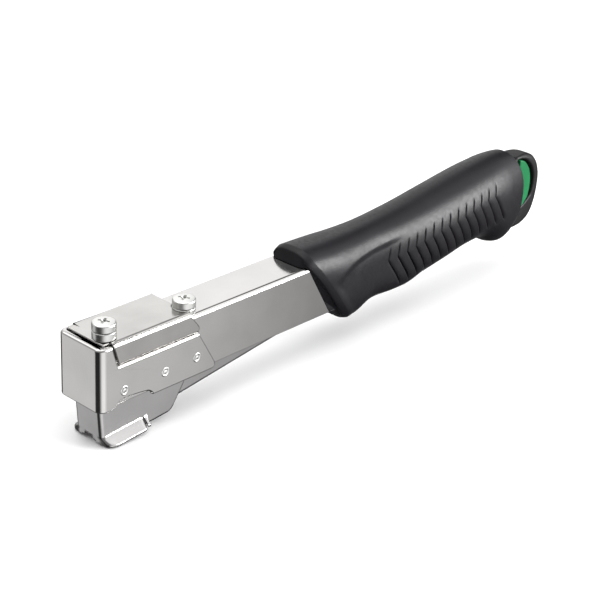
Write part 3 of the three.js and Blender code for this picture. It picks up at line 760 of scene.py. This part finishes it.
def hoop_outline():
    """The outside of the hoop in X and Z."""
    front, low, rear = 303.4, -33.2, span("loader_hoop")[1].x
    points = [(front, -33.0), (front, 10.6)]
    points += bow(points[-1], (317.6, 12.6), (324.8, 7.8))
    points += bow(points[-1], (rear - 0.4, 2.4), (rear, -7.5))
    points += bow(points[-1], (rear, -18.6), (327.6, -26.2))
    points += bow(points[-1], (323.4, low - 0.2), (311, low))
    return points


def window_outline(inset, rear):
    """The window of the hoop in X and Z, drawn in by inset, and as long as up to rear."""
    front, low, high = 308 + inset, -22.6 + inset, 9.3 - inset

    def part_way(share):
        return front + share * (rear - front)

    points = [(front, low), (front, high)]
    points += bow(points[-1], (part_way(0.42), high), (part_way(0.75), 2.2 - 0.5 * inset))
    points += bow(points[-1], (part_way(1.07), -5.6), (part_way(0.84), -15))
    points += bow(points[-1], (part_way(0.45), -22 + inset), (front, low))
    return points[:-1]


def seen_from(centre, outline, angles):
    """The outline's points that lie at each angle from a centre inside it."""
    found = []
    for angle in angles:
        c, v = math.cos(angle), math.sin(angle)
        for (x0, z0), (x1, z1) in zip(outline, outline[1:] + outline[:1]):
            x0, z0, x1, z1 = x0 - centre[0], z0 - centre[1], x1 - centre[0], z1 - centre[1]
            bend = c * (z1 - z0) - v * (x1 - x0)
            if abs(bend) < 1e-9:
                continue
            reach = (x0 * (z1 - z0) - z0 * (x1 - x0)) / bend
            share = (x0 * v - z0 * c) / bend
            if reach > 0 and -1e-9 <= share <= 1 + 1e-9:
                found.append((centre[0] + c * reach, centre[1] + v * reach))
                break
    return found


def hoop_rings():
    """Sections across the hoop's rim, well rounded outside and less inside."""
    half = span("loader_hoop")[1].y
    angles = np.linspace(0, 2 * math.pi, 144, endpoint=False)
    outer = seen_from(HOOP_MIDDLE, hoop_outline(), angles)
    inner = seen_from(HOOP_MIDDLE, window_outline(0, 327.0), angles)
    rings = []
    for (ox, oz), (wx, wz) in zip(outer, inner):
        width = math.hypot(wx - ox, wz - oz)
        big, small = min(HOOP_EDGE, 0.62 * width), min(WINDOW_EDGE, 0.3 * width)
        section = arc(big, half - big, big, 180, 90, 6) + arc(width - small, half - small, small, 90, 0, 4)
        section += [(across, -y) for across, y in section[::-1]]
        rings.append([(ox + (wx - ox) * a / width, y, oz + (wz - oz) * a / width) for a, y in section])
    return rings


def hoop():
    """The ring at the butt, with its plug, slots for the cheeks' tongues and a bore for the push rod."""
    ring = skinned(hoop_rings())
    plug = block(span("loader_hoop")[0].x, 304.5, -3.6, 3.6, -22, -4)
    joined(ring, softened(plug, 0.5, segments=3))
    low, high = TONGUE_LOW - 0.6, TONGUE_HIGH + 0.6
    slots = [block(302.4, 309, *on_side(sign, 3.9, 7), low, high) for sign in (1, -1)]
    return cut(ring, *slots, cylinder(2.3, "x", (291.65, 0, PIVOT.z), 9.3))


def cheek(side, sign):
    """A pad in the hoop's window, hollowed for its spring, with a hooked tongue into the grip."""
    front = span(f"squeeze_cheek_{side}")[0].x
    pad = softened(prism(window_outline(0.4, 321.4), "y", *on_side(sign, 2.2, 7.2)), 0.7, clamped=False)
    tongue = block(front, 311, *on_side(sign, 5.6, 6.8), TONGUE_LOW, TONGUE_HIGH)
    hook = block(front, 294.2, *on_side(sign, 5.6, 7.3), TONGUE_LOW, TONGUE_HIGH)
    joined(pad, softened(tongue, 0.25, segments=2), softened(hook, 0.2, segments=2))
    return cut(pad, cylinder(2.9, "y", (CHEEK_SPRING.x, sign * 3.1, CHEEK_SPRING.z), 3.8))


placed(hoop(), "end_hoop", "loader", BLACK_PLASTIC, "black_plastic", "loader_hoop", angle=40)
for side, sign in SIDES:
    placed(cheek(side, sign), f"{side}_squeeze_cheek", f"cheek_{side}", GREEN_PLASTIC, "green_plastic",
           f"squeeze_cheek_{side}", angle=40)


# ---- Magazine ----
INCLINE = math.atan(0.0545)  # the staple track climbs towards the butt
TRACK = Vector((7.0, 0, -28.8))
INCLINED = Matrix.Translation(TRACK) @ Matrix.Rotation(-INCLINE, 4, "Y") @ Matrix.Translation(-TRACK)
MAG_TOP, MAG_FLOOR = -22.0, -35.1
STAPLE_EXIT = 5.72  # half the width of the gap at the front of the channel's floor


def magazine_channel():
    """The channel of the magazine, open above and notched at the front of its floor."""
    folded = folded_section(half=7.3, top=MAG_TOP, bottom=MAG_FLOOR, wall=1.2, fold=2.0)
    section = [(y, MAG_TOP + MAG_FLOOR - z) for y, z in folded]
    channel = moved(prism(section, "x", 5.0, 198), INCLINED)
    cut(channel,
        block(4, 8.6, -STAPLE_EXIT, STAPLE_EXIT, -40, -31),
        cylinder(STUD + CLEAR, "y", (PIVOT.x, 0, PIVOT.z), THROUGH))
    return softened(channel, 0.3, segments=3, clamped=False)


def staple_rail():
    """The rail that the staples straddle, slotted on top."""
    section = folded_section(half=4.1, top=-24.0, bottom=-33.6, wall=1.1, fold=1.4)
    rail = cut(prism(section, "x", 7.0, 196), block(9.5, 188, -1.2, 1.2, -27, -23))
    return moved(softened(rail, 0.25, segments=3, clamped=False), INCLINED)


NOSE = {"front": 3.6, "rear": 55.5, "half": 8.6, "wall": 0.75, "corner": 2.1, "top": -8.0, "sole": -37.0}
FOOT = {"reach": 4.8, "rear": 27.0, "tab_front": 28.2, "tab_rear": 29.8, "tab_reach": 3.2, "flare": -31.9}
TURN_FROM, TURN_TO = 11.0, 4.6  # X where the foot's rim leaves the side, and Y where it meets the front
REAR_SOLE = [(42, -37), (44, -36.5), (45.6, -35.2), (52.9, -25.7), (55.5, NOSE["top"] - 0.5)]


def nose_path():
    """The nose's plan from the left rear round the front to the right rear, as rows of x and y of the wall
    and of the rim of the foot."""
    half, front, corner = NOSE["half"], NOSE["front"], NOSE["corner"]
    rim, tab = half + FOOT["reach"], half + FOOT["tab_reach"]
    tab_front, tab_rear = FOOT["tab_front"], FOOT["tab_rear"]
    rows = [(x, -half, x, -half) for x in (NOSE["rear"], 52.9, 49, 45.6, 44, 42, 38, 34, 31)]
    rows += [(tab_rear + 0.01, -half, tab_rear, -half), (tab_rear, -half, tab_rear - 0.1, 0.7 - tab),
             (29.4, -half, 29.4, 0.15 - tab), (29.0, -half, 29.0, -tab),
             (tab_front, -half, tab_front, -tab), (tab_front - 0.01, -half, tab_front, -half),
             (FOOT["rear"] + 0.01, -half, FOOT["rear"], -half)]
    for x, pulled in ((27.0, 2.2), (26.8, 1.3), (26.4, 0.7), (25.8, 0.25), (25.0, 0.0)):
        rows.append((x, -half, x, pulled - rim))
    rows += [(x, -half, x, -rim) for x in np.linspace(24, TURN_FROM, 12)]
    walls = [(x, -half) for x in np.linspace(TURN_FROM, front + corner, 9)[1:-1]]
    walls += arc(front + corner, corner - half, corner, 270, 180, 12)
    walls += [(front, y) for y in np.linspace(corner - half, -TURN_TO, 6)[1:]]
    rims = [(TURN_FROM, -rim)] + bow((TURN_FROM, -rim), (4.9, -rim - 0.4), (4.3, -9.8), len(walls) - 5)
    rims += bow(rims[-1], (3.4, -6.6), (front, -TURN_TO), 5)
    rows += [(*wall, *edge) for wall, edge in zip(walls, rims[1:])]
    rows += [(front, y, front, y) for y in np.linspace(-TURN_TO, 0, 10)[1:]]
    return rows + [(x, -y, rim_x, -rim_y) for x, y, rim_x, rim_y in rows[-2::-1]]


def nose_sole(x, y):
    """The height of the lower edge: arched over the staple exit in front, and sloped at the rear."""
    if x > REAR_SOLE[0][0]:
        return float(np.interp(x, *zip(*REAR_SOLE)))
    corner = 1 - float(step(5.0, 9.0, x))
    near_exit = 1 - float(step(4.2, 7.4, abs(y)))
    notch = 1 - float(step(2.6, 3.2, abs(y)))
    arch = 1.3 * near_exit + 2.0 * notch if x < NOSE["front"] + 0.1 else 0
    return NOSE["sole"] + 0.5 * corner + arch


def nose_outside(sole, reach):
    """The outside from the top down and out to the foot's rolled rim, as shares of the reach, and Z."""
    top, flare = NOSE["top"], FOOT["flare"]
    bend, rim = flare - 1.15, sole + 1.3 * float(step(0.2, 2.0, reach))
    section = [(0, top - 0.3), (0, -20), (0, flare), (0.02, flare - 0.4), (0.07, flare - 0.8), (0.15, bend)]
    section += [(0.15 + 0.75 * t, bend + (rim + 0.05 - bend) * t) for t in (0.25, 0.5, 0.75, 1.0)]
    section += [(0.92, rim - 0.02), (0.95, rim + 0.03), (0.97, rim - 0.06), (0.985, rim - 0.3)]
    return section + [(1.0, sole + 0.6), (0.995, sole + 0.3), (0.97, sole + 0.08), (0.93, sole)]


def nose_inward(x, y):
    """The direction across the nose's wall, from outside to inside."""
    if x < NOSE["front"] + 0.01:
        return Vector((1, 0))
    if abs(y) > NOSE["half"] - 0.01:
        return Vector((0, -math.copysign(1, y)))
    bend = Vector((NOSE["front"] + NOSE["corner"], math.copysign(NOSE["half"] - NOSE["corner"], y)))
    return (bend - Vector((x, y))).normalized()


def nose_shoe():
    """A wrapped sheet with its lower edges struck out into two feet with rolled rims."""
    wall, top, flare = NOSE["wall"], NOSE["top"], FOOT["flare"]
    inside = [(wall, flare - 0.5), (wall, -20), (wall, top - 0.3), (wall - 0.3, top), (0.3, top)]
    rings = []
    for x, y, rim_x, rim_y in nose_path():
        sole = nose_sole(x, y)
        start, out, inward = Vector((x, y)), Vector((rim_x - x, rim_y - y)), nose_inward(x, y)
        section = [(start + out * share, z) for share, z in nose_outside(sole, out.length)]
        section += [(start + inward * depth, z) for depth, z in [(wall, sole), *inside]]
        rings.append([(*place, min(max(z, sole), top)) for place, z in section])
    slot_from, slot_to = FOOT["rear"] + 0.1, FOOT["tab_front"] - 0.1
    slots = [block(slot_from, slot_to, *on_side(sign, 6, 9), -38, flare + 0.3) for sign in (-1, 1)]
    return cut(skinned(rings, looped=False), *slots)


placed(magazine_channel(), "lower_channel", "magazine", SATIN, "satin_steel", "magazine_channel",
       down=True)
placed(staple_rail(), "inner_rail", "magazine", SATIN, "satin_steel", "staple_rail", down=True)
placed(nose_shoe(), "nose_with_feet", "magazine", SATIN, "plated_steel", "nose_shoe", down=True, angle=38)


# ---- Springs ----
TURN_STEPS, WIRE_STEPS = 22, 10
FLAT_PITCH = 2.2  # how far the flat turns at the ends climb, in wire radii


def coil(start, axis, length, radius, turns, wire, flat_turns=1.0):
    """A coil spring of round wire that runs along axis from start, with nearly flat turns at its ends."""
    along = Vector(axis).normalized()
    side = along.orthogonal().normalized()
    up = along.cross(side)
    steps = int(turns * TURN_STEPS)
    flat = FLAT_PITCH * wire * flat_turns
    rings = []
    for k in range(steps + 1):
        turn = turns * k / steps
        if turn < flat_turns:
            height = flat * turn / flat_turns
        elif turn > turns - flat_turns:
            height = length - flat * (turns - turn) / flat_turns
        else:
            height = flat + (length - 2 * flat) * (turn - flat_turns) / (turns - 2 * flat_turns)
        angle = 2 * math.pi * turn
        out = math.cos(angle) * side + math.sin(angle) * up
        middle = Vector(start) + along * height + out * radius
        rings.append([middle + wire * (math.cos(a) * out + math.sin(a) * along)
                      for a in np.linspace(0, 2 * math.pi, WIRE_STEPS, endpoint=False)])
    return skinned(rings, looped=False)


def return_spring():
    """The spring that holds the magazine away from the handle."""
    x, low, high, wire = 118, -18.0, -5.8, 0.6
    spring = coil((x, 0, low), (0, 0, 1), high - low, radius=3.8, turns=6, wire=wire)
    placed(spring, "head_return_spring", "handle", WIRE, "spring_steel", "return_spring", angle=60)
    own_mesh(spring)


def feed_spring():
    """The spring that pushes the follower along the rail."""
    start, length, wire = 25.2, 159, 0.4
    spring = coil((start, 0, TRACK.z), (1, 0, 0), length, radius=2.1, turns=40, wire=wire, flat_turns=2.0)
    placed(moved(spring, INCLINED), "staple_feed_spring", "magazine", WIRE, "spring_steel", "follower_spring",
           down=True, angle=60)
    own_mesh(spring)


def cheek_spring(side, sign):
    """One half of the spring between the cheeks."""
    spring = coil(CHEEK_SPRING, (0, sign, 0), length=4.2, radius=2.0, turns=2.5, wire=0.35, flat_turns=0.4)
    placed(spring, f"{side}_cheek_spring", "loader", WIRE, "spring_steel", "cheek_spring", angle=60)
    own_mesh(spring)


return_spring()
feed_spring()
for side, sign in SIDES:
    cheek_spring(side, sign)


# ---- CAD nodes that are shown as they are ----
CARRIED = {
    "driver_block": OILED, "driver_blade": OILED, "rear_clamp_block": OILED, "bumper": STOP_RUBBER,
    "spring_seat": OILED, "grip_core": BLACK_PLASTIC, "push_rod": WIRE, "pivot_stud_left": SATIN,
    "pivot_stud_right": SATIN, "pivot_bush_left": SATIN, "pivot_bush_right": SATIN, "nose_bridge": SATIN,
    "spring_saddle": SATIN, "follower": OILED,
}
for node, material in CARRIED.items():
    shown = frame["nodes"][node]
    shown.data.materials.clear()
    shown.data.materials.append(material)
    weld = shown.modifiers.new("weld", "WELD")
    weld.merge_threshold = 0.01 * MM
    edges = shown.modifiers.new("edges", "BEVEL")
    edges.width = 0.25 * MM
    edges.segments = 3
    edges.angle_limit = math.radians(30)
    weighted = shown.modifiers.new("normals", "WEIGHTED_NORMAL")
    weighted.keep_sharp = True


# ---- Camera, floor and light ----
def camera():
    """A long lens from in front of the near side and above it, looking back along the tool."""
    azimuth, elevation, roll = (math.radians(a) for a in (-48.432, 25.649, 3.202))
    distance, lens, sensor = 0.736557, 91.82, 36
    target = HEAD + Vector((130.0, -8.377, -19.193)) * MM
    back = Vector((math.sin(azimuth) * math.cos(elevation), -math.cos(azimuth) * math.cos(elevation),
                   math.sin(elevation)))
    level = Vector((0, 0, 1)).cross(back).normalized()
    upright = back.cross(level)
    across = math.cos(roll) * level + math.sin(roll) * upright
    up = math.cos(roll) * upright - math.sin(roll) * level
    data = bpy.data.cameras.new("camera")
    data.lens = lens
    data.sensor_width = sensor
    made = bpy.data.objects.new("camera", data)
    bpy.context.scene.collection.objects.link(made)
    turn = Matrix((across, up, back)).transposed().to_4x4()
    made.matrix_world = Matrix.Translation(target + back * distance) @ turn
    bpy.context.scene.camera = made


def floor():
    """A pale plane under the tool."""
    mesh = bpy.data.meshes.new("floor")
    reach = 6.0
    mesh.from_pydata([(-reach, -reach, 0), (reach, -reach, 0), (reach, reach, 0), (-reach, reach, 0)], [],
                     [(0, 1, 2, 3)])
    made = bpy.data.objects.new("floor", mesh)
    bpy.context.scene.collection.objects.link(made)
    s = Shader("pale_floor")
    s.set(Base_Color=s.colours(s.noise(3, 2), (0.93, 0.93, 0.93), (0.95, 0.95, 0.95)), Roughness=0.9)
    mesh.materials.append(s.material)
    made.visible_glossy = False


def softbox(name, direction, distance, width, height, power):
    """A flat area light that faces the tool."""
    data = bpy.data.lights.new(name, "AREA")
    data.shape = "RECTANGLE"
    data.size, data.size_y = width, height
    data.energy = power
    made = bpy.data.objects.new(name, data)
    bpy.context.scene.collection.objects.link(made)
    towards = Vector(direction).normalized()
    made.location = towards * distance
    made.rotation_mode = "QUATERNION"
    made.rotation_quaternion = towards.to_track_quat("Z", "Y")


# What the metal sees: a ring of panels below the horizon, one above it, and a bright ceiling.
# Each stop is an azimuth in degrees, anticlockwise from the butt, and a brightness.
LOWER_RING = [(0, 0.1), (10, 0.12), (24, 0.45), (60, 0.5), (78, 0.3), (88, 0.05), (108, 0.05), (118, 0.8),
              (138, 0.84), (148, 0.4), (154, 0.03), (207, 0.03), (219, 0.4), (240, 1.25), (268, 1.35),
              (296, 0.9), (306, 0.79), (312, 0.79), (315.5, 0.66), (318.5, 0.36), (323, 0.24), (338, 0.35),
              (348, 0.1), (360, 0.1)]
UPPER_RING = [(0, 0.4), (12, 0.06), (29, 0.06), (36, 1.3), (56, 1.4), (80, 0.7), (130, 0.5), (180, 0.3),
              (235, 0.25), (275, 0.5), (296, 1.3), (325, 1.3), (339, 1.8), (350, 1.2), (360, 0.4)]
CEILING, UNDERSIDE = 1.5, 0.07
STRENGTH = 3  # the colours are divided by this, so that they stay below 1


def surroundings():
    """A studio of bright and dark panels round the tool, as the plated metal shows them."""
    world = bpy.data.worlds.new("studio")
    bpy.context.scene.world = world
    world.use_nodes = True
    tree = world.node_tree

    def grey(brightness):
        return (*[brightness / STRENGTH] * 3, 1)

    def calculated(operation, first, second):
        return add_node(tree, "ShaderNodeMath", {0: first, 1: second}, operation=operation).outputs[0]

    def ring(turn, stops):
        ramp = add_node(tree, "ShaderNodeValToRGB", {"Fac": turn})
        elements = ramp.color_ramp.elements
        while len(elements) < len(stops):
            elements.new(0.5)
        for element, (azimuth, brightness) in zip(elements, stops):
            element.position = azimuth / 360
            element.color = grey(brightness)
        return ramp.outputs["Color"]

    def faded(height, low, high, below, above):
        """One colour below the height low, another above high, and a smooth change between them."""
        share = add_node(tree, "ShaderNodeMapRange", {"Value": height, "From Min": low, "From Max": high},
                         interpolation_type="SMOOTHSTEP").outputs["Result"]
        mix = add_node(tree, "ShaderNodeMix", {"Factor": share, 6: below, 7: above}, data_type="RGBA")
        return mix.outputs[2]

    direction = add_node(tree, "ShaderNodeTexCoord").outputs["Generated"]
    split = add_node(tree, "ShaderNodeSeparateXYZ", {0: direction})
    angle = calculated("ARCTAN2", split.outputs["Y"], split.outputs["X"])
    turn = calculated("FRACT", calculated("ADD", calculated("DIVIDE", angle, 2 * math.pi), 1.0), 0.0)
    height = split.outputs["Z"]
    low = faded(height, -0.68, -0.55, grey(UNDERSIDE), ring(turn, LOWER_RING))
    rings = faded(height, -0.12, 0.2, low, ring(turn, UPPER_RING))
    background = tree.nodes["Background"]
    feed(tree, background.inputs["Color"], faded(height, 0.72, 0.95, rings, grey(CEILING)))
    feed(tree, background.inputs["Strength"], STRENGTH)


camera()
floor()
surroundings()
softbox("key", (0.63, -0.75, 0.21), distance=1.2, width=0.7, height=0.56, power=26)
softbox("fill", (-0.3, 0.3, 1.0), distance=1.5, width=1.8, height=1.8, power=13)
bpy.context.scene.view_settings.view_transform = "Standard"
